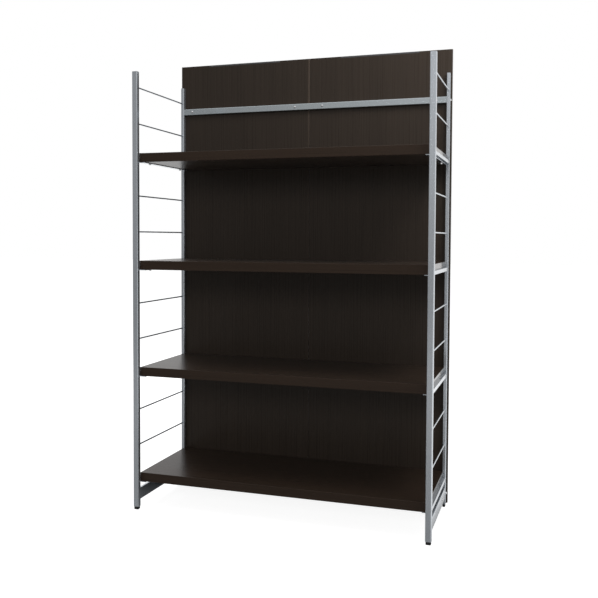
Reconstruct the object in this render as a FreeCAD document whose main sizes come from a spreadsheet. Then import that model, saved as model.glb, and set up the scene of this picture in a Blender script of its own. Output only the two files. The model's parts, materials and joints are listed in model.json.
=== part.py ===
import FreeCAD, Part
import os
import re
import Sketcher

# Room divider bookcase: two ladder side frames of steel tube, joined by crossbars that carry two
# back panels, with four boards that hang on the rungs by hooked end rails.
# Millimetres. +X right, +Y back, +Z up. The origin is on the floor under the middle of the part.

SIZES = {
    # Side frames
    "frame_width": 1160,
    "rear_setback": 410.6,
    "front_post_width": 22,
    "front_post_depth": 18,
    "front_post_top": 1697,
    "rear_post_width": 14,
    "rear_post_depth": 20,
    "rear_post_rise": 9,
    "post_wall": 1.5,
    "post_inner_radius": 1,
    "cap_thickness": 2,
    "cap_plug_length": 12,
    "plug_clearance": 0.5,
    "foot_height": 12,
    "foot_inset": 2,
    "foot_chamfer": 2,
    "foot_plug_length": 25,
    # Rungs of the ladders
    "rung_diameter": 6,
    "rung_count": 12,
    "top_rung_drop": 58,
    "lowest_rung_height": 113.3,
    # Bottom rails of the ladders
    "rail_height": 45,
    "rail_thickness": 12,
    "rail_underside": 35,
    "rail_wall": 1.5,
    "rail_inner_radius": 1,
    # Crossbars and the stretcher between the two frames
    "bar_height": 25,
    "bar_depth": 18,
    "bar_wall": 1.5,
    "bar_inner_radius": 0.5,
    "bar_insert_length": 30,
    "top_bar_drop": 91,
    "lower_bar_underside": 42.5,
    "stretcher_setback": 326,
    # Back panels
    "panel_thickness": 15,
    "panel_rise": 94,
    "panel_underside": 12,
    "panel_overhang": 5,
    "panel_seam": 1,
    "panel_edge_radius": 1,
    "strip_length": 320,
    "strip_height": 6,
    "strip_depth": 8,
    # Shelf boards
    "board_thickness": 35,
    "board_setback": 28,
    "board_back_gap": 2.6,
    "board_end_gap": 0.5,
    "board_drop": 11.6,
    "board_edge_radius": 1.5,
    "shelf_rung_step": 3,
    # Hooked rails on the board ends
    "hook_wall": 2.5,
    "hook_lip_depth": 11.3,
    "hook_side_gap": 0.5,
    "hook_seat_gap": 0.3,
    "hook_end_gap": 1,
    "hook_corner_radius": 2,
    "flange_width": 20,
    # Bolts
    "bolt_head_diameter": 10,
    "bolt_head_height": 4,
    "bolt_shank_diameter": 6,
    "bolt_reach": 22,
    "hole_clearance": 0.2,
}

# Places that several pieces share, as formulas of the sizes. The posts, rungs and bottom rail of each
# ladder are centred on one upright plane, at LADDER_X from the middle.
FRONT = "(-(rear_setback + rear_post_depth + panel_thickness) / 2)"
REAR_POST_FACE = f"({FRONT} + rear_setback)"
PANEL_FACE = f"({REAR_POST_FACE} + rear_post_depth)"
FRONT_POST_BACK = f"({FRONT} + front_post_depth)"
SIDE_SPAN = "(rear_setback - front_post_depth)"
LADDER_X = "((frame_width - front_post_width) / 2)"
REAR_POST_OUTSIDE = f"({LADDER_X} + rear_post_width / 2)"
RAIL_OUTSIDE = f"({LADDER_X} + rail_thickness / 2)"
REAR_POST_TOP = "(front_post_top + rear_post_rise)"
PANEL_TOP = f"({REAR_POST_TOP} + panel_rise)"
TOP_BAR_UNDERSIDE = f"({REAR_POST_TOP} - top_bar_drop - bar_height)"
RUNG_PITCH = "((front_post_top - top_rung_drop - lowest_rung_height) / (rung_count - 1))"
BAR_SPAN = f"(2 * {LADDER_X} - rear_post_width)"
STRETCHER_SPAN = f"(2 * {LADDER_X} - rail_thickness)"
PANEL_WIDTH = f"({REAR_POST_OUTSIDE} + panel_overhang - panel_seam / 2)"
BAR_MID_Y = f"({PANEL_FACE} - bar_depth / 2)"
STRETCHER_MID_Y = f"({FRONT} + stretcher_setback)"
RAIL_MID_Z = "(rail_underside + rail_height / 2)"
BOLT_HOLE = "(bolt_shank_diameter + 2 * hole_clearance)"
BOARD_WIDTH = f"({BAR_SPAN} - 2 * board_end_gap)"
BOARD_DEPTH = "(rear_setback + rear_post_depth - board_setback - board_back_gap)"

SIDES = {"left": -1, "right": 1}
SHELVES = ("bottom_shelf", "lower_shelf", "upper_shelf", "top_shelf")
# Width, depth, front face and top of the posts at each end of the ladders
POSTS = {
    "front": ("front_post_width", "front_post_depth", FRONT, "front_post_top"),
    "rear": ("rear_post_width", "rear_post_depth", REAR_POST_FACE, REAR_POST_TOP),
}
BARS = {"lower": "lower_bar_underside", "top": TOP_BAR_UNDERSIDE}

doc = FreeCAD.newDocument("room_divider_bookcase")
sheet = doc.addObject("Spreadsheet::Sheet", "sizes")
for row, (alias, number) in enumerate(SIZES.items(), start=1):
    sheet.set(f"A{row}", alias)
    sheet.set(f"B{row}", str(number))
    sheet.setAlias(f"B{row}", alias)
doc.recompute()

pieces = []


def named(formula):
    """The formula with each size written as a cell of the sheet."""
    return re.sub(r"[a-z]+(_[a-z]+)+", lambda word: "sizes." + word.group(), formula)


def bind(item, prop, formula):
    item.setExpression(prop, named(formula))


def value(formula):
    return float(sheet.evalExpression(formula))


def new_body(label, x="0", y="0", z="0"):
    """An empty piece whose own origin stands at x, y, z."""
    body = doc.addObject("PartDesign::Body", label)
    body.Label = label
    body.AllowCompound = True
    for axis, formula in zip("xyz", (x, y, z)):
        bind(body, f"Placement.Base.{axis}", formula)
    pieces.append(body)
    return body


def new_sketch(body, role, name, offset=("0", "0", "0")):
    """A sketch on one of the body's own origin planes, moved by offset in the plane's axes."""
    plane = next(item for item in body.Origin.OriginFeatures if item.Role == role)
    sketch = body.newObject("Sketcher::SketchObject", f"{body.Label}_{name}")
    sketch.AttachmentSupport = [(plane, "")]
    sketch.MapMode = "FlatFace"
    for axis, formula in zip("xyz", offset):
        bind(sketch, f"AttachmentOffset.Base.{axis}", formula)
    return sketch


def outline(sketch, corners):
    """A closed outline through corners, each placed by two bound dimensions."""
    points = [FreeCAD.Vector(value(x), value(y), 0) for x, y in corners]
    first = sketch.GeometryCount
    last = first + len(corners) - 1
    for index, point in enumerate(points):
        following = points[(index + 1) % len(points)]
        sketch.addGeometry(Part.LineSegment(point, following), False)
    for line in range(first, last + 1):
        following = first if line == last else line + 1
        sketch.addConstraint(Sketcher.Constraint("Coincident", line, 2, following, 1))
    for line, point, (x, y) in zip(range(first, last + 1), points, corners):
        for kind, number, formula in (("DistanceX", point.x, x), ("DistanceY", point.y, y)):
            place = sketch.addConstraint(Sketcher.Constraint(kind, -1, 1, line, 1, number))
            sketch.renameConstraint(place, f"{kind}_{line}")
            bind(sketch, f"Constraints.{kind}_{line}", formula)


def rectangle(sketch, width, height):
    """A rectangle centred on the sketch's origin."""
    left, right = f"-({width}) / 2", f"({width}) / 2"
    low, high = f"-({height}) / 2", f"({height}) / 2"
    outline(sketch, ((left, low), (right, low), (right, high), (left, high)))


def circle(sketch, diameter, x="0", y="0"):
    """A circle whose centre is placed by two bound dimensions."""
    centre = FreeCAD.Vector(value(x), value(y), 0)
    normal = FreeCAD.Vector(0, 0, 1)
    ring = sketch.addGeometry(Part.Circle(centre, normal, value(diameter) / 2), False)
    dimensions = (
        ("Diameter", (ring, value(diameter)), diameter),
        ("DistanceX", (-1, 1, ring, 3, centre.x), x),
        ("DistanceY", (-1, 1, ring, 3, centre.y), y),
    )
    for kind, terms, formula in dimensions:
        place = sketch.addConstraint(Sketcher.Constraint(kind, *terms))
        sketch.renameConstraint(place, f"{kind}_{ring}")
        bind(sketch, f"Constraints.{kind}_{ring}", formula)


def pad(body, sketch, length, backwards=False):
    feature = body.newObject("PartDesign::Pad", f"{sketch.Label}_pad")
    feature.Profile = sketch
    feature.Reversed = backwards
    bind(feature, "Length", length)
    doc.recompute()
    return feature


def cut(body, sketch, length=None):
    """A pocket of the given length, or right through both ways. It has to remove something."""
    before = body.Shape.Volume
    feature = body.newObject("PartDesign::Pocket", f"{sketch.Label}_cut")
    feature.Profile = sketch
    if length is None:
        feature.Type = "ThroughAll"
        feature.SideType = "Symmetric"
    else:
        bind(feature, "Length", length)
    doc.recompute()
    if not body.Shape.Volume < before:
        raise RuntimeError(f"{feature.Label} removed nothing")
    return feature


def turn(body, sketch, axis):
    """A full revolution about the sketch's own H_Axis or V_Axis."""
    feature = body.newObject("PartDesign::Revolution", f"{sketch.Label}_turn")
    feature.Profile = sketch
    feature.ReferenceAxis = (sketch, [axis])
    feature.Angle = 360
    doc.recompute()
    return feature


def round_edges(body, feature, picked, radius):
    """A fillet on those edges of the feature for which picked(edge) holds."""
    names = [f"Edge{n}" for n, edge in enumerate(feature.Shape.Edges, start=1) if picked(edge)]
    fillet = body.newObject("PartDesign::Fillet", f"{feature.Label}_round")
    fillet.Base = (feature, names)
    bind(fillet, "Radius", radius)
    doc.recompute()
    return fillet


def chamfer_edges(body, feature, picked, size):
    """A chamfer on those edges of the feature for which picked(edge) holds."""
    names = [f"Edge{n}" for n, edge in enumerate(feature.Shape.Edges, start=1) if picked(edge)]
    chamfer = body.newObject("PartDesign::Chamfer", f"{feature.Label}_chamfer")
    chamfer.Base = (feature, names)
    bind(chamfer, "Size", size)
    doc.recompute()
    return chamfer


def runs_along(axis):
    """A test for straight edges parallel to the axis."""
    return lambda edge: (
        edge.Curve.TypeId == "Part::GeomLine" and edge.Curve.Direction.cross(axis).Length < 1e-6
    )


X_AXIS, Y_AXIS, Z_AXIS = FreeCAD.Vector(1, 0, 0), FreeCAD.Vector(0, 1, 0), FreeCAD.Vector(0, 0, 1)
# For each direction of a tube: the plane of its section, and whether the plane's pad runs backwards
SECTION_PLANES = {"x": ("YZ_Plane", False), "y": ("XZ_Plane", True), "z": ("XY_Plane", False)}
DIRECTIONS = {"x": X_AXIS, "y": Y_AXIS, "z": Z_AXIS}


def make_tube(body, direction, width, height, length, inner_radius, wall):
    """A straight rectangular tube with rounded corners, open at both ends."""
    role, backwards = SECTION_PLANES[direction]
    axis = DIRECTIONS[direction]
    section = new_sketch(body, role, "section")
    rectangle(section, width, height)
    bar = pad(body, section, length, backwards)
    rounded = round_edges(body, bar, runs_along(axis), f"{inner_radius} + {wall}")
    faces = enumerate(rounded.Shape.Faces, start=1)
    ends = [f"Face{n}" for n, face in faces if abs(face.normalAt(0, 0).dot(axis)) > 0.999]
    bore = body.newObject("PartDesign::Thickness", f"{body.Label}_bore")
    bore.Base = (rounded, ends)
    bore.Reversed = True
    bind(bore, "Value", wall)
    doc.recompute()
    return bore


def make_posts():
    """The four uprights. Bolt holes for both crossbars go through the rear ones."""
    for end, (width, depth, face, top) in POSTS.items():
        for side, sign in SIDES.items():
            across = f"{sign} * {LADDER_X}"
            post = new_body(f"{side}_{end}_post", across, f"{face} + {depth} / 2", "foot_height")
            length = f"{top} - cap_thickness - foot_height"
            make_tube(post, "z", width, depth, length, "post_inner_radius", "post_wall")
            if end == "rear":
                holes = new_sketch(post, "YZ_Plane", "bolt_holes")
                for underside in BARS.values():
                    circle(holes, BOLT_HOLE, "(rear_post_depth - bar_depth) / 2",
                           f"{underside} + bar_height / 2 - foot_height")
                cut(post, holes)


def add_plug(body, name, place, width, depth, length, backwards=False):
    """The part of a cap or foot that sits inside its post."""
    section = new_sketch(body, "XY_Plane", f"{name}_plug", place)
    inset = "2 * (post_wall + plug_clearance)"
    rectangle(section, f"{width} - {inset}", f"{depth} - {inset}")
    pad(body, section, length, backwards)


def make_post_caps():
    """Flat end caps on the posts, each with a plug inside the tube."""
    for end, (width, depth, face, top) in POSTS.items():
        caps = new_body(f"{end}_post_caps", "0", f"{face} + {depth} / 2", f"{top} - cap_thickness")
        for side, sign in SIDES.items():
            place = (f"{sign} * {LADDER_X}", "0", "0")
            lid = new_sketch(caps, "XY_Plane", f"{side}_lid", place)
            corner_inset = "0.6 * (post_inner_radius + post_wall)"
            rectangle(lid, f"{width} - {corner_inset}", f"{depth} - {corner_inset}")
            pad(caps, lid, "cap_thickness")
            add_plug(caps, side, place, width, depth, "cap_plug_length", backwards=True)


def make_feet():
    """Moulded feet: a block with a chamfered underside, and a plug inside the post."""
    for end, (width, depth, face, top) in POSTS.items():
        feet = new_body(f"{end}_feet", "0", f"{face} + {depth} / 2", "foot_height")
        for side, sign in SIDES.items():
            place = (f"{sign} * {LADDER_X}", "0", "0")
            block = new_sketch(feet, "XY_Plane", f"{side}_block", place)
            rectangle(block, f"{width} - 2 * foot_inset", f"{depth} - 2 * foot_inset")
            block_pad = pad(feet, block, "foot_height", backwards=True)
            floor = value("-foot_height")
            middle = value(place[0])

            def on_floor(edge, floor=floor, middle=middle):
                place = edge.CenterOfMass
                return abs(place.z - floor) < 1e-6 and place.x * middle > 0

            chamfer_edges(feet, block_pad, on_floor, "foot_chamfer")
            add_plug(feet, side, place, width, depth, "foot_plug_length")


def make_rungs():
    """The rods of the two ladders, from front post to rear post."""
    for side, sign in SIDES.items():
        across = f"{sign} * {LADDER_X}"
        rungs = new_body(f"{side}_rungs", across, FRONT_POST_BACK, "lowest_rung_height")
        section = new_sketch(rungs, "XZ_Plane", "section")
        circle(section, "rung_diameter")
        rod = pad(rungs, section, SIDE_SPAN, backwards=True)
        ladder = rungs.newObject("PartDesign::LinearPattern", f"{side}_ladder")
        ladder.Originals = [rod]
        upward = next(item for item in rungs.Origin.OriginFeatures if item.Role == "Z_Axis")
        ladder.Direction = (upward, [""])
        ladder.Mode = "Spacing"
        bind(ladder, "Offset", RUNG_PITCH)
        bind(ladder, "Occurrences", "rung_count")
        rungs.Tip = ladder
        doc.recompute()


def make_bottom_rails():
    """The deep rails at the foot of the ladders, with the stretcher's bolt holes."""
    for side, sign in SIDES.items():
        rail = new_body(f"{side}_bottom_rail", f"{sign} * {LADDER_X}", FRONT_POST_BACK, RAIL_MID_Z)
        make_tube(rail, "y", "rail_thickness", "rail_height", SIDE_SPAN,
                  "rail_inner_radius", "rail_wall")
        hole = new_sketch(rail, "YZ_Plane", "bolt_hole")
        circle(hole, BOLT_HOLE, f"{STRETCHER_MID_Y} - {FRONT_POST_BACK}")
        cut(rail, hole)


def make_crossbars():
    """The two bars that join the rear posts and carry the panels, and the stretcher below."""
    for label, underside in BARS.items():
        bar = new_body(f"{label}_crossbar", f"-{BAR_SPAN} / 2", BAR_MID_Y,
                       f"{underside} + bar_height / 2")
        make_tube(bar, "x", "bar_depth", "bar_height", BAR_SPAN, "bar_inner_radius", "bar_wall")
    stretcher = new_body("bottom_stretcher", f"-{STRETCHER_SPAN} / 2", STRETCHER_MID_Y, RAIL_MID_Z)
    make_tube(stretcher, "x", "bar_depth", "bar_height", STRETCHER_SPAN,
              "bar_inner_radius", "bar_wall")


def add_bar_insert(body, name, place, inward):
    """One plug in the end of a bar, bored for its bolt."""
    section = new_sketch(body, "YZ_Plane", f"{name}_section", place)
    inset = "2 * (bar_wall + plug_clearance)"
    rectangle(section, f"bar_depth - {inset}", f"bar_height - {inset}")
    circle(section, BOLT_HOLE)
    pad(body, section, "bar_insert_length", backwards=inward < 0)


def make_bar_inserts():
    """Threaded plugs in the ends of the crossbars and of the stretcher."""
    crossbar_inserts = new_body("crossbar_end_inserts", "0", BAR_MID_Y, "0")
    stretcher_inserts = new_body("stretcher_end_inserts", "0", STRETCHER_MID_Y, "0")
    for side, sign in SIDES.items():
        for label, underside in BARS.items():
            place = ("0", f"{underside} + bar_height / 2", f"{sign} * {BAR_SPAN} / 2")
            add_bar_insert(crossbar_inserts, f"{label}_{side}", place, -sign)
        place = ("0", RAIL_MID_Z, f"{sign} * {STRETCHER_SPAN} / 2")
        add_bar_insert(stretcher_inserts, side, place, -sign)


def add_bolt(body, name, place, outward, grip):
    """One bolt along X, its head bearing at place on the outside."""
    section = new_sketch(body, "XY_Plane", f"{name}_section", place)
    head, shank = "bolt_head_diameter / 2", "bolt_shank_diameter / 2"
    corners = (
        (f"-{outward} * ({grip} + bolt_reach)", "0"),
        (f"{outward} * bolt_head_height", "0"),
        (f"{outward} * bolt_head_height", head),
        ("0", head),
        ("0", shank),
        (f"-{outward} * ({grip} + bolt_reach)", shank),
    )
    outline(section, corners)
    turn(body, section, "H_Axis")


def make_bolts():
    """Bolts through the rear posts into the crossbars, and through the rails into the stretcher."""
    crossbar_bolts = new_body("crossbar_bolts", "0", BAR_MID_Y, "0")
    stretcher_bolts = new_body("stretcher_bolts", "0", STRETCHER_MID_Y, "0")
    for side, sign in SIDES.items():
        for label, underside in BARS.items():
            place = (f"{sign} * {REAR_POST_OUTSIDE}", "0", f"{underside} + bar_height / 2")
            add_bolt(crossbar_bolts, f"{label}_{side}", place, sign, "rear_post_width")
        place = (f"{sign} * {RAIL_OUTSIDE}", "0", RAIL_MID_Z)
        add_bolt(stretcher_bolts, side, place, sign, "rail_thickness")


def make_back_panels():
    """The two back panels, each with a rebate along its top edge, and the strips in the rebates."""
    height = f"{PANEL_TOP} - panel_underside"
    for side, sign in SIDES.items():
        middle = f"{sign} * ({PANEL_WIDTH} + panel_seam) / 2"
        panel = new_body(f"back_panel_{side}", middle, PANEL_FACE, "panel_underside")
        face = new_sketch(panel, "XZ_Plane", "face", ("0", f"({height}) / 2", "0"))
        rectangle(face, PANEL_WIDTH, height)
        slab = pad(panel, face, "panel_thickness", backwards=True)
        round_edges(panel, slab, runs_along(Z_AXIS), "panel_edge_radius")
        rebate = new_sketch(panel, "XZ_Plane", "rebate", ("0", f"{height} - strip_height / 2", "0"))
        rectangle(rebate, "strip_length", "strip_height")
        cut(panel, rebate, "strip_depth")
        strip = new_body(f"{side}_panel_strip", middle, PANEL_FACE, f"{PANEL_TOP} - strip_height / 2")
        section = new_sketch(strip, "XZ_Plane", "face")
        rectangle(section, "strip_length", "strip_height")
        pad(strip, section, "strip_depth", backwards=True)


def make_hook_rail(label, sign, seat):
    """The rail on one end of a board: a hook over the rung, an end plate and a flange below."""
    inward = -sign
    across = f"{sign} * {LADDER_X}"
    rail = new_body(label, across, f"{FRONT} + board_setback", seat)
    lip = "-(rung_diameter / 2 + hook_side_gap)"
    board_end = "rear_post_width / 2 + board_end_gap"
    plate = f"{board_end} - hook_wall"
    flange_end = f"{board_end} + flange_width"
    underside = "-board_drop - hook_wall"
    top = "board_thickness - board_drop"
    corners = (
        (f"{lip} - hook_wall", "-hook_lip_depth"),
        (lip, "-hook_lip_depth"),
        (lip, "0"),
        (plate, "0"),
        (plate, underside),
        (flange_end, underside),
        (flange_end, "-board_drop"),
        (board_end, "-board_drop"),
        (board_end, top),
        (plate, top),
        (plate, "hook_wall"),
        (f"{lip} - hook_wall", "hook_wall"),
    )
    section = new_sketch(rail, "XZ_Plane", "section")
    outline(section, [(f"{inward} * ({x})", z) for x, z in corners])
    bar = pad(rail, section, "rear_setback - board_setback - hook_end_gap", backwards=True)
    bends = (
        (value(f"{inward} * ({lip} - hook_wall)"), value("hook_wall")),
        (value(f"{inward} * ({plate})"), value(underside)),
    )

    def outer_bend(edge):
        place = edge.CenterOfMass
        beside = any(abs(place.x - x) < 1e-3 and abs(place.z - z) < 1e-3 for x, z in bends)
        return beside and runs_along(Y_AXIS)(edge)

    round_edges(rail, bar, outer_bend, "hook_corner_radius")


def make_shelf(label, level):
    """One board, and the two hook rails that carry it on their flanges."""
    seat = (
        f"(lowest_rung_height + {level} * shelf_rung_step * {RUNG_PITCH}"
        " + rung_diameter / 2 + hook_seat_gap)"
    )
    board = new_body(f"{label}_board", "0", f"{FRONT} + board_setback", f"{seat} - board_drop")
    plan = new_sketch(board, "XY_Plane", "plan", ("0", f"{BOARD_DEPTH} / 2", "0"))
    rectangle(plan, BOARD_WIDTH, BOARD_DEPTH)
    slab = pad(board, plan, "board_thickness")
    round_edges(board, slab, runs_along(X_AXIS), "board_edge_radius")
    for side, sign in SIDES.items():
        make_hook_rail(f"{label}_{side}_hook_rail", sign, seat)


make_posts()
make_post_caps()
make_rungs()
make_bottom_rails()
make_crossbars()
make_bar_inserts()
make_bolts()
make_back_panels()
make_feet()
for shelf_level, shelf_label in enumerate(SHELVES):
    make_shelf(shelf_label, shelf_level)
doc.recompute()

# Every object has to be sound before anything is written
for item in doc.Objects:
    if "Invalid" in item.State or "Error" in item.State:
        raise RuntimeError(f"{item.Label} failed: {item.State}")
for piece in pieces:
    if piece.Shape.isNull() or not piece.Shape.isValid():
        raise RuntimeError(f"{piece.Label} has no valid shape")

os.makedirs("parts", exist_ok=True)
for piece in pieces:
    piece.Shape.exportStep(os.path.join("parts", f"{piece.Label}.step"))
    box = piece.Shape.BoundBox
    print(f"{piece.Label}: {len(piece.Shape.Solids)} solids, {piece.Shape.Volume:.0f} mm3,"
          f" x {box.XMin:.1f} to {box.XMax:.1f}, y {box.YMin:.1f} to {box.YMax:.1f},"
          f" z {box.ZMin:.1f} to {box.ZMax:.1f}")
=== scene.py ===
import json
import math

import bmesh
import bpy
from mathutils import Matrix, Vector


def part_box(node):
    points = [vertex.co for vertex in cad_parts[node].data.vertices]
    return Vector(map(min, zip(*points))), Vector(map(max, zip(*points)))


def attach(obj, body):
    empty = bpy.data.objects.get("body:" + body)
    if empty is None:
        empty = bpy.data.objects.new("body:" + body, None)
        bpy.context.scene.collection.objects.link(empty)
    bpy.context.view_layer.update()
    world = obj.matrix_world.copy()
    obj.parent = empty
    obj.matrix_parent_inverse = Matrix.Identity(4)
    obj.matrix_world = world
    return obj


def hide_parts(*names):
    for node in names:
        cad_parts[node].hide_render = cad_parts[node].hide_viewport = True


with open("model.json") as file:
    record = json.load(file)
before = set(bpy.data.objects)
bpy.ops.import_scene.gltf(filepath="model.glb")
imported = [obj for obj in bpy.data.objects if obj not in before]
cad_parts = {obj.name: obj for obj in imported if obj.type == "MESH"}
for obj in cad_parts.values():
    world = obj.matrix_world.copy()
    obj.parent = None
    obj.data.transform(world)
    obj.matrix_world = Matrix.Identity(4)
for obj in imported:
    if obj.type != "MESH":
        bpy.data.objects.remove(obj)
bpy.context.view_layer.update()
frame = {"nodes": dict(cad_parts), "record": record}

# Room divider bookcase. Metres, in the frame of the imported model: +X right, +Y back, +Z up.
scene = bpy.context.scene

# Camera, fitted to the photograph. Its picture is in pixels, its sensor in millimetres.
IMAGE_SIZE = 598
FOCAL_PIXELS = 787.241
SENSOR_WIDTH = 36.0
CAMERA_PLACE = Vector((0.9614, -2.9189, 1.0642))
CAMERA_YAW = -0.31087
CAMERA_PITCH = -0.04021
CAMERA_ROLL = 0.00444
PRINCIPAL_POINT_RISE = 29.644
CAMERA_REACH = 100

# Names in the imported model: sides, shelves, and the bars that each node of bolts holds
SIDES = ("left", "right")
SHELVES = ("bottom_shelf", "lower_shelf", "upper_shelf", "top_shelf")
BOLTED_BARS = {
    "crossbar_bolts": ("lower_crossbar", "top_crossbar"),
    "stretcher_bolts": ("bottom_stretcher",),
}

# Nodes with a finish other than their slot's. The panels' grain runs upright, and the bars between
# the ladders are a darker silver.
FINISHES = {
    "back_panel_left": "panel_wood",
    "back_panel_right": "panel_wood",
    "lower_crossbar": "bar_paint",
    "top_crossbar": "bar_paint",
    "bottom_stretcher": "bar_paint",
}

# Tones
WHITE = (1, 1, 1)
SILVER = (0.57, 0.605, 0.645)
BAR_SILVER = (0.49, 0.535, 0.56)
PANEL_BROWN = (0.0405, 0.0306, 0.0236)
BOARD_BROWN = (0.0380, 0.0245, 0.0168)
BLACK = (0.004, 0.004, 0.0045)
ZINC = (0.70, 0.70, 0.71)
STRIP_GREY = (0.10, 0.10, 0.104)
FLOOR_GREY = (0.6, 0.6, 0.6)

# How much of its tone a finish has in its darkest and in its lightest spots
GRAIN_SHADES = (0.78, 1.22)
FLAKE_SHADES = (0.90, 1.06)
PLASTIC_SHADES = (1.0, 1.8)
PLATING_SHADES = (0.86, 1.0)

# Gloss of the finishes. Each roughness is the lowest and the highest.
WOOD_GLOSS = 0.15
EDGING_GLOSS = 0.5
WOOD_SHEEN = 0.02
WOOD_SHEEN_ROUGHNESS = 0.35
BOARD_ROUGHNESS = (0.27, 0.31)
PANEL_ROUGHNESS = (0.24, 0.34)
EDGING_ROUGHNESS = (0.08, 0.12)
PAINT_ROUGHNESS = (0.17, 0.24)
PLASTIC_ROUGHNESS = (0.42, 0.55)
ZINC_ROUGHNESS = (0.16, 0.26)
STRIP_ROUGHNESS = (0.36, 0.46)
PAINT_METALLIC = 0.85
ZINC_METALLIC = 1.0
STRIP_METALLIC = 0.6

# Cells of the noises to a metre. The wood's are across and along the grain, the plating's along X, Y
# and Z.
FIGURE_CELLS = (11, 0.9)
STREAK_CELLS = (240, 2.0)
PORE_CELLS = (900, 22)
FLAKE_CELLS = 2600
PEEL_CELLS = 420
PLASTIC_CELLS = 1500
PLATING_CELLS = (60, 900, 900)

# Values of a noise between which a look changes, and how far it changes
WIDE_SPAN = (0.3, 0.7)
NARROW_SPAN = (0.35, 0.65)
FIGURE_SPAN = (0.32, 0.68)
PORE_SPAN = (0.58, 0.72)
PLASTIC_SPAN = (0.4, 0.7)
NONE_TO_ALL = (0.0, 1.0)
FIGURE_SHARE = (0.25, 0.75)
PORE_SHARE = (0.0, 0.5)
FINE_SHARE = 0.5

# Painted highlight on the left panel's edge at the seam, where the light from above right catches it:
# how many times lighter than the tone it is, where it starts and ends in X, and how it grows with height
SEAM_HIGHLIGHT = 2.2
SEAM_START = (-0.009, -0.0036)
SEAM_END = (-0.00045, 0.00045)
SEAM_HEIGHTS = (1.35, 1.62)
SEAM_SHARE = (0.12, 1.0)

# Screws. The rim and the recess are shares of the head's height and radius.
SCREW_HEAD_RADIUS = 0.0048
SCREW_HEAD_HEIGHT = 0.0042
SCREW_RIM = 0.15
RECESS_ARM = 0.50
RECESS_HALF_WIDTH = 0.13
RECESS_FLOOR = 0.45
PANEL_SCREW_INSET = 0.058
SHELF_SCREW_INSET = 0.060
FLANGE_SCREW_INSET = 0.010

# Bolts. The dome's points are shares of the head's radius and height, the socket's floor of its height.
BOLT_HEAD_RADIUS = 0.005
BOLT_HEAD_HEIGHT = 0.004
BOLT_SHANK_RADIUS = 0.003
BOLT_SHANK_LENGTH = 0.008
BOLT_DOME = ((1.0, 0.25), (0.93, 0.55), (0.78, 0.80), (0.55, 1.0))
BOLT_SOCKET_RADIUS = 0.0023
BOLT_SOCKET_FLOOR = 0.35
BOLT_SOCKET_SIDES = 6

# Steps of the round shapes, and how many heights of a head its cutter goes up
LATHE_STEPS = 32
DOME_STEPS = 8
EDGING_STEPS = 5
CUTTER_REACH = 2

# Laminate edging over the end plates of the boards
PLATE_WALL = 0.0025
PLATE_RISE = 0.0209
EDGING_COVER = 0.0004
EDGING_RADIUS = 0.0012

# Half the floor's width, and the light that it gives to the camera by distance from the middle and
# to the gloss by place. Each light is a span in metres with the levels at its two ends.
FLOOR_REACH = 30
FLOOR_SEEN = ((1.0, 3.0), (0.90, 0.95))
FLOOR_BEHIND = ((0.3, 1.5), (0.0, 0.9))
FLOOR_BESIDE = ((0.58, 0.64), (0.0, 0.75))
FLOOR_BEFORE = ((-2.0, -0.5), (0.10, 0.0))

# The studio around the object as the gloss shows it, by direction. Each is a span of the direction's
# X, Y or Z with the levels at its two ends.
STUDIO_ACROSS_X = ((-0.5, -0.1), (0.37, 0.42))
STUDIO_RIGHT_X = ((-0.40, -0.1), (0.0, 1.0))
STUDIO_ABOVE_Z = ((0.0, 0.2), (0.0, 0.38))
STUDIO_OVERHEAD_Z = ((0.45, 0.75), (0.0, 1.1))
STUDIO_BEHIND_Y = ((-0.5, 0.5), (0.0, 1.0))
CORNER_HIGH_Z = ((0.22, 0.32), (0.0, 0.6))
CORNER_RIGHT_X = ((-0.05, 0.08), (0.0, 1.0))

# The studio where it is white, and as the object's surfaces are lit by it
STUDIO_WHITE = 1.0
AMBIENT = 0.26

# Lamps. Each size is a diameter in metres, each power in watts.
LAMPS = (
    {"name": "key", "place": (1.5, -0.8, 2.8), "target": (0.1, 0.1, 1.3), "size": 1.2, "power": 16},
    {"name": "side", "place": (1.05, -0.35, 2.2), "target": (0.3, 0.2, 1.6), "size": 0.6, "power": 6.5},
    {"name": "front", "place": (0.3, -6.0, 2.75), "target": (0.0, 0.2, 1.0), "size": 1.6, "power": 64},
    {"name": "back", "place": (-2.2, 3.0, 2.6), "target": (0.0, 0.2, 0.9), "size": 2.0, "power": 60},
)

# Places of the colours among a mix node's sockets, whose names are also those of its numbers
FIRST_COLOUR = 6
SECOND_COLOUR = 7
MIXED_COLOUR = 2


def place_camera():
    """The photograph's camera: forward, right and up from yaw, pitch and roll."""
    forward = Vector((
        math.sin(CAMERA_YAW) * math.cos(CAMERA_PITCH),
        math.cos(CAMERA_YAW) * math.cos(CAMERA_PITCH),
        math.sin(CAMERA_PITCH),
    ))
    level = Vector((math.cos(CAMERA_YAW), -math.sin(CAMERA_YAW), 0))
    upright = level.cross(forward)
    right = level * math.cos(CAMERA_ROLL) + upright * math.sin(CAMERA_ROLL)
    up = right.cross(forward)
    data = bpy.data.cameras.new("camera")
    data.sensor_width = SENSOR_WIDTH
    data.lens = FOCAL_PIXELS / IMAGE_SIZE * SENSOR_WIDTH
    data.shift_y = -PRINCIPAL_POINT_RISE / IMAGE_SIZE
    data.clip_end = CAMERA_REACH
    camera = bpy.data.objects.new("camera", data)
    scene.collection.objects.link(camera)
    turn = Matrix((right, up, -forward)).transposed().to_4x4()
    camera.matrix_world = Matrix.Translation(CAMERA_PLACE) @ turn
    scene.camera = camera


def feed(tree, socket, term):
    """Gives a socket another node's output, or else a colour, a vector or a number."""
    if isinstance(term, bpy.types.NodeSocket):
        tree.links.new(term, socket)
    elif socket.type == "RGBA":
        socket.default_value = (*term, 1.0)
    else:
        socket.default_value = term


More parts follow.
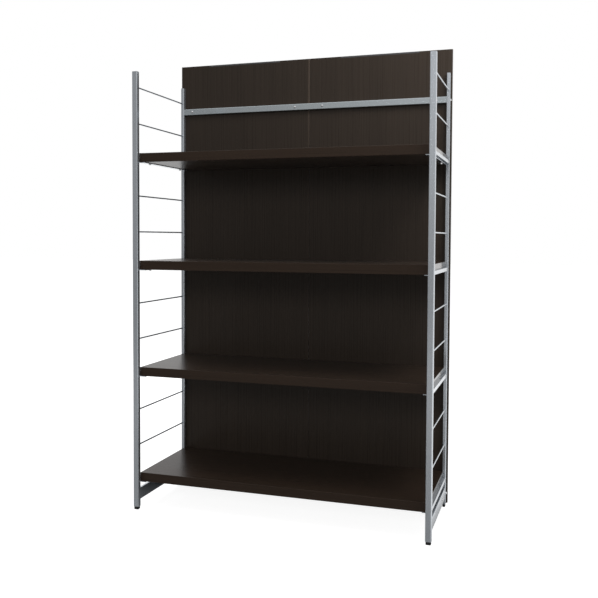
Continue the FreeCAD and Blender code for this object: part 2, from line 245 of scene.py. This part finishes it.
def fill(tree, node, **inputs):
    """Feeds a node's inputs by name, underscores standing for spaces."""
    for name, term in inputs.items():
        feed(tree, node.inputs[name.replace("_", " ")], term)


def add_node(tree, kind, **inputs):
    """A new node with its inputs fed by name."""
    node = tree.nodes.new(kind)
    fill(tree, node, **inputs)
    return node


def add_math(tree, operation, first, second):
    """A sum, product and so on of two numbers or outputs."""
    node = tree.nodes.new("ShaderNodeMath")
    node.operation = operation
    for socket, term in zip(node.inputs, (first, second)):
        feed(tree, socket, term)
    return node.outputs["Value"]


def mix_numbers(tree, factor, first, second):
    """A number between first and second, which are numbers or outputs."""
    node = add_node(tree, "ShaderNodeMix", Factor=factor, A=first, B=second)
    return node.outputs["Result"]


def blend_colours(tree, factor, first, second):
    """A colour between first and second, which are colours or outputs."""
    node = tree.nodes.new("ShaderNodeMix")
    node.data_type = "RGBA"
    fill(tree, node, Factor=factor)
    feed(tree, node.inputs[FIRST_COLOUR], first)
    feed(tree, node.inputs[SECOND_COLOUR], second)
    return node.outputs[MIXED_COLOUR]


def remap(tree, source, span, levels):
    """The source, with the ends of the span taken to the two levels and held beyond them."""
    node = add_node(tree, "ShaderNodeMapRange", Value=source, From_Min=span[0], From_Max=span[1],
                    To_Min=levels[0], To_Max=levels[1])
    return node.outputs["Result"]


def split_place(tree, space):
    """The X, Y and Z outputs of the place, in one of the texture coordinates' spaces."""
    place = tree.nodes.new("ShaderNodeTexCoord")
    split = add_node(tree, "ShaderNodeSeparateXYZ", Vector=place.outputs[space])
    return split.outputs


def stretched_noise(tree, cells, detail, distortion=0.0, roughness=0.5):
    """Noise over the object's own space, with so many cells to a metre along each axis."""
    place = tree.nodes.new("ShaderNodeTexCoord")
    stretched = add_node(tree, "ShaderNodeMapping", Vector=place.outputs["Object"], Scale=cells)
    noise = add_node(tree, "ShaderNodeTexNoise", Vector=stretched.outputs["Vector"], Scale=1.0,
                     Detail=detail, Distortion=distortion, Roughness=roughness)
    return noise.outputs["Fac"]


def even_noise(tree, cells, detail):
    """Noise with as many cells to a metre along every axis."""
    return stretched_noise(tree, (cells, cells, cells), detail)


def shade(tone, share):
    """The tone, darker or lighter by a share."""
    return tuple(share * level for level in tone)


def vary(tree, factor, tone, shades):
    """The tone in its darkest shade where the factor is 0, in its lightest where it is 1."""
    darkest, lightest = shades
    return blend_colours(tree, factor, shade(tone, darkest), shade(tone, lightest))


def add_bump(tree, shader, height, strength, distance):
    """Fine relief on the shader's surface, from a noise as its height."""
    bump = add_node(tree, "ShaderNodeBump", Height=height, Strength=strength, Distance=distance)
    fill(tree, shader, Normal=bump.outputs["Normal"])


def new_material(name):
    """A node material, with its tree and its shader."""
    material = bpy.data.materials.new(name)
    material.use_nodes = True
    shader = material.node_tree.nodes["Principled BSDF"]
    return material, material.node_tree, shader


def painted_seam_highlight(tree):
    """Painted highlight along the left panel's edge at the seam, where light from above catches it,
    strongest above the top shelf.
    """
    place = split_place(tree, "Object")
    start = remap(tree, place["X"], SEAM_START, NONE_TO_ALL)
    end = remap(tree, place["X"], SEAM_END, NONE_TO_ALL[::-1])
    upward = remap(tree, place["Z"], SEAM_HEIGHTS, SEAM_SHARE)
    return add_math(tree, "MULTIPLY", upward, add_math(tree, "MULTIPLY", start, end))


def wood_laminate(name, tone, grain, gloss, roughness, with_seam_highlight=False):
    """Dark wood-grain laminate.

    grain is the axis that it runs along, roughness the lowest and the highest."""
    def with_grain(cells):
        across, along = cells
        return tuple(along if axis == grain else across for axis in "xyz")

    material, tree, shader = new_material(name)
    figure = stretched_noise(tree, with_grain(FIGURE_CELLS), detail=3, distortion=1.2)
    streaks = stretched_noise(tree, with_grain(STREAK_CELLS), detail=4, distortion=0.3, roughness=0.6)
    pores = stretched_noise(tree, with_grain(PORE_CELLS), detail=2)
    broad = vary(tree, remap(tree, figure, FIGURE_SPAN, FIGURE_SHARE), tone, GRAIN_SHADES)
    fine = vary(tree, remap(tree, streaks, WIDE_SPAN, NONE_TO_ALL), tone, GRAIN_SHADES)
    both = blend_colours(tree, FINE_SHARE, broad, fine)
    dots = remap(tree, pores, PORE_SPAN, PORE_SHARE)
    colour = blend_colours(tree, dots, both, shade(tone, min(GRAIN_SHADES)))
    # Painted highlight on the seam's edge, lighter where the light from above falls on it
    if with_seam_highlight:
        colour = blend_colours(tree, painted_seam_highlight(tree), colour, shade(tone, SEAM_HIGHLIGHT))
    fill(tree, shader, Base_Color=colour, Roughness=remap(tree, streaks, WIDE_SPAN, roughness),
         Specular_IOR_Level=gloss, Sheen_Weight=WOOD_SHEEN, Sheen_Roughness=WOOD_SHEEN_ROUGHNESS)
    add_bump(tree, shader, pores, strength=0.12, distance=0.0002)
    return material


def silver_paint(name, tone):
    """Silver powder coat: a metallic base with fine flake and a slight orange peel."""
    material, tree, shader = new_material(name)
    flake = even_noise(tree, FLAKE_CELLS, detail=1)
    peel = even_noise(tree, PEEL_CELLS, detail=2)
    colour = vary(tree, remap(tree, flake, NARROW_SPAN, NONE_TO_ALL), tone, FLAKE_SHADES)
    fill(tree, shader, Base_Color=colour, Metallic=PAINT_METALLIC,
         Roughness=remap(tree, peel, WIDE_SPAN, PAINT_ROUGHNESS))
    add_bump(tree, shader, peel, strength=0.05, distance=0.0001)
    return material


def black_plastic():
    """Moulded black plastic with a fine texture."""
    material, tree, shader = new_material("black_plastic")
    grain = even_noise(tree, PLASTIC_CELLS, detail=2)
    colour = vary(tree, remap(tree, grain, PLASTIC_SPAN, NONE_TO_ALL), BLACK, PLASTIC_SHADES)
    fill(tree, shader, Base_Color=colour, Roughness=remap(tree, grain, WIDE_SPAN, PLASTIC_ROUGHNESS))
    add_bump(tree, shader, grain, strength=0.2, distance=0.0001)
    return material


def plated_metal(name, tone, metallic, roughness):
    """Plated or painted metal with a faint lengthwise variation."""
    material, tree, shader = new_material(name)
    drawn = stretched_noise(tree, PLATING_CELLS, detail=2)
    colour = vary(tree, remap(tree, drawn, NARROW_SPAN, NONE_TO_ALL), tone, PLATING_SHADES)
    fill(tree, shader, Base_Color=colour, Metallic=metallic,
         Roughness=remap(tree, drawn, WIDE_SPAN, roughness))
    return material


def dress_nodes(materials):
    """Gives every CAD node its own finish, or else the material of its slot."""
    for part in frame["record"]["subparts"]:
        finish = FINISHES.get(part["node"], part["material_slot"])
        node = frame["nodes"][part["node"]]
        node.data.materials.clear()
        node.data.materials.append(materials[finish])


def circle_points(radius, count):
    """Points spaced evenly on a circle, as (x, y)."""
    angles = [2 * math.pi * step / count for step in range(count)]
    return [(radius * math.cos(angle), radius * math.sin(angle)) for angle in angles]


def quarter_turn(steps):
    """Angles from zero to a right angle, in so many steps."""
    return [0.5 * math.pi * step / steps for step in range(steps + 1)]


def lathe(profile):
    """A bmesh turned about +Z from (radius, height) points, closed where the radius is zero."""
    mesh = bmesh.new()
    rings = []
    for radius, height in profile:
        points = circle_points(radius, LATHE_STEPS) if radius else [(0, 0)]
        rings.append([mesh.verts.new((x, y, height)) for x, y in points])
    for lower, upper in zip(rings, rings[1:]):
        for step in range(LATHE_STEPS):
            following = (step + 1) % LATHE_STEPS
            corners = [lower[step % len(lower)], lower[following % len(lower)],
                       upper[following % len(upper)], upper[step % len(upper)]]
            corners = list(dict.fromkeys(corners))
            mesh.faces.new(corners)
    bmesh.ops.recalc_face_normals(mesh, faces=mesh.faces)
    return mesh


def prism(outline, low, high):
    """A bmesh prism over a flat outline of (x, y) points."""
    mesh = bmesh.new()
    floor = [mesh.verts.new((x, y, low)) for x, y in outline]
    roof = [mesh.verts.new((x, y, high)) for x, y in outline]
    mesh.faces.new(floor[::-1])
    mesh.faces.new(roof)
    count = len(outline)
    for step in range(count):
        following = (step + 1) % count
        mesh.faces.new((floor[step], floor[following], roof[following], roof[step]))
    bmesh.ops.recalc_face_normals(mesh, faces=mesh.faces)
    return mesh


def as_object(name, mesh):
    """An object in the scene from a bmesh, which is freed."""
    data = bpy.data.meshes.new(name)
    mesh.to_mesh(data)
    mesh.free()
    piece = bpy.data.objects.new(name, data)
    scene.collection.objects.link(piece)
    return piece


def carve(name, solid, tool):
    """The solid with the tool cut out of it, as mesh data."""
    body = as_object(name, solid)
    cutter = as_object(f"{name}_cutter", tool)
    step = body.modifiers.new("recess", "BOOLEAN")
    step.operation = "DIFFERENCE"
    step.solver = "EXACT"
    step.object = cutter
    graph = bpy.context.evaluated_depsgraph_get()
    carved = bpy.data.meshes.new_from_object(body.evaluated_get(graph))
    for scrap in (body, cutter):
        bpy.data.objects.remove(scrap)
    return carved


def screw_head():
    """A domed head with a cross recess, its underside at zero height, pointing up."""
    radius, height = SCREW_HEAD_RADIUS, SCREW_HEAD_HEIGHT
    profile = [(0, 0), (radius, 0), (radius, SCREW_RIM * height)]
    for angle in quarter_turn(DOME_STEPS)[1:-1]:
        rise = SCREW_RIM + (1 - SCREW_RIM) * math.sin(angle)
        profile.append((radius * math.cos(angle), height * rise))
    profile.append((0, height))
    arm, half = RECESS_ARM * radius, RECESS_HALF_WIDTH * radius
    cross = [(arm, half), (half, half), (half, arm), (-half, arm), (-half, half), (-arm, half),
             (-arm, -half), (-half, -half), (-half, -arm), (half, -arm), (half, -half), (arm, -half)]
    recess = prism(cross, RECESS_FLOOR * height, CUTTER_REACH * height)
    return carve("screw_head", lathe(profile), recess)


def button_bolt():
    """A domed bolt with a hexagon socket, bearing at zero height, its head pointing up."""
    radius, height = BOLT_HEAD_RADIUS, BOLT_HEAD_HEIGHT
    shank, reach = BOLT_SHANK_RADIUS, BOLT_SHANK_LENGTH
    profile = [(0, -reach), (shank, -reach), (shank, 0), (radius, 0)]
    profile += [(out * radius, up * height) for out, up in BOLT_DOME]
    profile.append((0, height))
    hexagon = circle_points(BOLT_SOCKET_RADIUS, BOLT_SOCKET_SIDES)
    socket = prism(hexagon, BOLT_SOCKET_FLOOR * height, CUTTER_REACH * height)
    return carve("button_bolt", lathe(profile), socket)


def gather(name, source, places, body, material):
    """One piece made of copies of the source mesh at the given places, riding on the body."""
    mesh = bmesh.new()
    for place in places:
        copy = bmesh.new()
        copy.from_mesh(source)
        copy.transform(place)
        data = bpy.data.meshes.new("copy")
        copy.to_mesh(data)
        copy.free()
        mesh.from_mesh(data)
        bpy.data.meshes.remove(data)
    piece = as_object(name, mesh)
    piece.data.materials.append(material)
    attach(piece, body)
    return piece


def facing(place, direction):
    """A placement at place that turns +Z to the direction."""
    return Matrix.Translation(place) @ Vector(direction).to_track_quat("Z", "Y").to_matrix().to_4x4()


def add_panel_screws(material):
    """Pan heads on the fronts of both crossbars, two to each panel."""
    head = screw_head()
    for label in ("top", "lower"):
        low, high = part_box(f"{label}_crossbar")
        places = []
        for side in SIDES:
            panel_low, panel_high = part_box(f"back_panel_{side}")
            for across in (panel_low.x + PANEL_SCREW_INSET, panel_high.x - PANEL_SCREW_INSET):
                place = Vector((across, low.y, (low.z + high.z) / 2))
                places.append(facing(place, (0, -1, 0)))
        gather(f"{label}_panel_screws", head, places, "frame", material)


def add_shelf_screws(material):
    """Pan heads under the flanges of the hook rails, two to a rail, moving with their shelf."""
    head = screw_head()
    for shelf in SHELVES:
        places = []
        for side in SIDES:
            low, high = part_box(f"{shelf}_{side}_hook_rail")
            flange_edge = min(low.x, high.x, key=abs)
            across = flange_edge + math.copysign(FLANGE_SCREW_INSET, flange_edge)
            for along in (low.y + SHELF_SCREW_INSET, high.y - SHELF_SCREW_INSET):
                places.append(facing(Vector((across, along, low.z)), (0, 0, -1)))
        gather(f"{shelf}_screws", head, places, shelf, material)


def add_bolts(material):
    """Domed bolts in place of the plain ones, heads outwards on both sides."""
    for node, bars in BOLTED_BARS.items():
        low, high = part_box(node)
        bolt = button_bolt()
        places = []
        for bar in bars:
            bar_low, bar_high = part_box(bar)
            middle = (bar_low + bar_high) / 2
            for outer, outward in ((low.x, -1), (high.x, 1)):
                place = Vector((outer - outward * BOLT_HEAD_HEIGHT, middle.y, middle.z))
                places.append(facing(place, (outward, 0, 0)))
        piece = gather(f"button_{node}", bolt, places, "frame", material)
        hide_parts(node)


def edging(side, length, drop):
    """A strip of edging for one end of a board, its rear lower inner corner at the origin.

    side is 1 at the right end and -1 at the left. The strip's front goes down by drop, over the
    end of the rail's web."""
    width, height = PLATE_WALL + EDGING_COVER, PLATE_RISE + EDGING_COVER
    section = [(0, 0), (side * width, 0)]
    for angle in quarter_turn(EDGING_STEPS):
        section.append((side * (width - EDGING_RADIUS * (1 - math.cos(angle))),
                        height - EDGING_RADIUS * (1 - math.sin(angle))))
    section.append((0, height))
    front = [(0, -drop), (side * width, -drop), (side * width, 0), (0, 0)]
    data = bpy.data.meshes.new("edging")
    cap = prism(front, length - EDGING_COVER, length)
    cap.to_mesh(data)
    cap.free()
    strip = prism(section, 0, length)
    strip.from_mesh(data)
    strip.transform(Matrix.Rotation(0.5 * math.pi, 4, "X"))
    strip.to_mesh(data)
    strip.free()
    return data


def add_board_edging(material):
    """Edging on both ends of each board, from the hooks up to the board's top."""
    for shelf in SHELVES:
        board_low, board_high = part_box(f"{shelf}_board")
        foot = board_high.z - PLATE_RISE
        for side, end in zip(SIDES, (board_low.x, board_high.x)):
            rail_low, rail_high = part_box(f"{shelf}_{side}_hook_rail")
            front, rear = rail_low.y - EDGING_COVER, rail_high.y
            strip = edging(math.copysign(1, end), rear - front, foot - board_low.z)
            place = Matrix.Translation((end, rear, foot))
            gather(f"{shelf}_{side}_edging", strip, [place], shelf, material)


def add_floor():
    """A pale floor that keeps the object's faint shadow.

    In the gloss it is bright behind the object and at its right, and dim in front."""
    reach = FLOOR_REACH
    corners = [(-reach, -reach, 0), (reach, -reach, 0), (reach, reach, 0), (-reach, reach, 0)]
    data = bpy.data.meshes.new("floor")
    data.from_pydata(corners, [], [(0, 1, 2, 3)])
    floor = bpy.data.objects.new("floor", data)
    scene.collection.objects.link(floor)
    material, tree, shader = new_material("floor")
    ray = tree.nodes.new("ShaderNodeLightPath").outputs
    place = split_place(tree, "Object")
    mirrored = add_math(tree, "MAXIMUM", ray["Is Glossy Ray"], ray["Is Transmission Ray"])
    behind = remap(tree, place["Y"], *FLOOR_BEHIND)
    beside = remap(tree, place["X"], *FLOOR_BESIDE)
    before = remap(tree, place["Y"], *FLOOR_BEFORE)
    around = add_math(tree, "ADD", before, add_math(tree, "MAXIMUM", behind, beside))
    reflected = add_math(tree, "MULTIPLY", mirrored, around)
    whole_place = tree.nodes.new("ShaderNodeTexCoord").outputs["Object"]
    distance = add_node(tree, "ShaderNodeVectorMath", Vector=whole_place)
    distance.operation = "LENGTH"
    pale = remap(tree, distance.outputs["Value"], *FLOOR_SEEN)
    seen = add_math(tree, "MULTIPLY", ray["Is Camera Ray"], pale)
    fill(tree, shader, Base_Color=FLOOR_GREY, Roughness=1.0, Specular_IOR_Level=0.0,
         Emission_Color=WHITE, Emission_Strength=add_math(tree, "ADD", seen, reflected))
    data.materials.append(material)


def add_world():
    """White where it is seen. In the gloss it is dim in front and white behind, with a darker corner."""
    world = bpy.data.worlds.new("studio")
    world.use_nodes = True
    scene.world = world
    tree = world.node_tree
    ray = tree.nodes.new("ShaderNodeLightPath").outputs
    direction = split_place(tree, "Generated")
    across = remap(tree, direction["X"], *STUDIO_ACROSS_X)
    to_the_right = remap(tree, direction["X"], *STUDIO_RIGHT_X)
    above = remap(tree, direction["Z"], *STUDIO_ABOVE_Z)
    overhead = remap(tree, direction["Z"], *STUDIO_OVERHEAD_Z)
    front = add_math(tree, "ADD", across, add_math(tree, "MULTIPLY", above, to_the_right))
    front = add_math(tree, "ADD", front, overhead)
    behind = remap(tree, direction["Y"], *STUDIO_BEHIND_Y)
    high = remap(tree, direction["Z"], *CORNER_HIGH_Z)
    corner = remap(tree, direction["X"], *CORNER_RIGHT_X)
    backdrop = add_math(tree, "SUBTRACT", STUDIO_WHITE, add_math(tree, "MULTIPLY", high, corner))
    mirrored = mix_numbers(tree, behind, front, backdrop)
    unseen = mix_numbers(tree, ray["Is Glossy Ray"], AMBIENT, mirrored)
    clear = add_math(tree, "MAXIMUM", ray["Is Camera Ray"], ray["Is Transmission Ray"])
    fill(tree, tree.nodes["Background"], Color=WHITE,
         Strength=mix_numbers(tree, clear, unseen, STUDIO_WHITE))


def add_light(name, place, target, size, power):
    """A soft lamp that lights the object, but shows neither to the camera nor in the gloss."""
    data = bpy.data.lights.new(name, "AREA")
    data.shape = "DISK"
    data.size = size
    data.energy = power
    light = bpy.data.objects.new(name, data)
    scene.collection.objects.link(light)
    light.location = place
    light.rotation_euler = (Vector(target) - Vector(place)).to_track_quat("-Z", "Y").to_euler()
    light.visible_camera = False
    light.visible_glossy = False


place_camera()
materials = {
    "silver_paint": silver_paint("silver_paint", SILVER),
    "bar_paint": silver_paint("bar_paint", BAR_SILVER),
    "dark_wood": wood_laminate("board_wood", BOARD_BROWN, "x", WOOD_GLOSS, BOARD_ROUGHNESS),
    # The panels also get a painted highlight on their edge at the seam
    "panel_wood": wood_laminate("panel_wood", PANEL_BROWN, "z", WOOD_GLOSS, PANEL_ROUGHNESS,
                                with_seam_highlight=True),
    "edge_wood": wood_laminate("edge_wood", BOARD_BROWN, "y", EDGING_GLOSS, EDGING_ROUGHNESS),
    "black_plastic": black_plastic(),
    "zinc": plated_metal("zinc", ZINC, ZINC_METALLIC, ZINC_ROUGHNESS),
    "grey_strip": plated_metal("grey_strip", STRIP_GREY, STRIP_METALLIC, STRIP_ROUGHNESS),
}
dress_nodes(materials)
add_panel_screws(materials["zinc"])
add_shelf_screws(materials["zinc"])
add_bolts(materials["zinc"])
add_board_edging(materials["edge_wood"])
add_floor()
add_world()
for lamp in LAMPS:
    add_light(**lamp)
scene.view_settings.view_transform = "Standard"
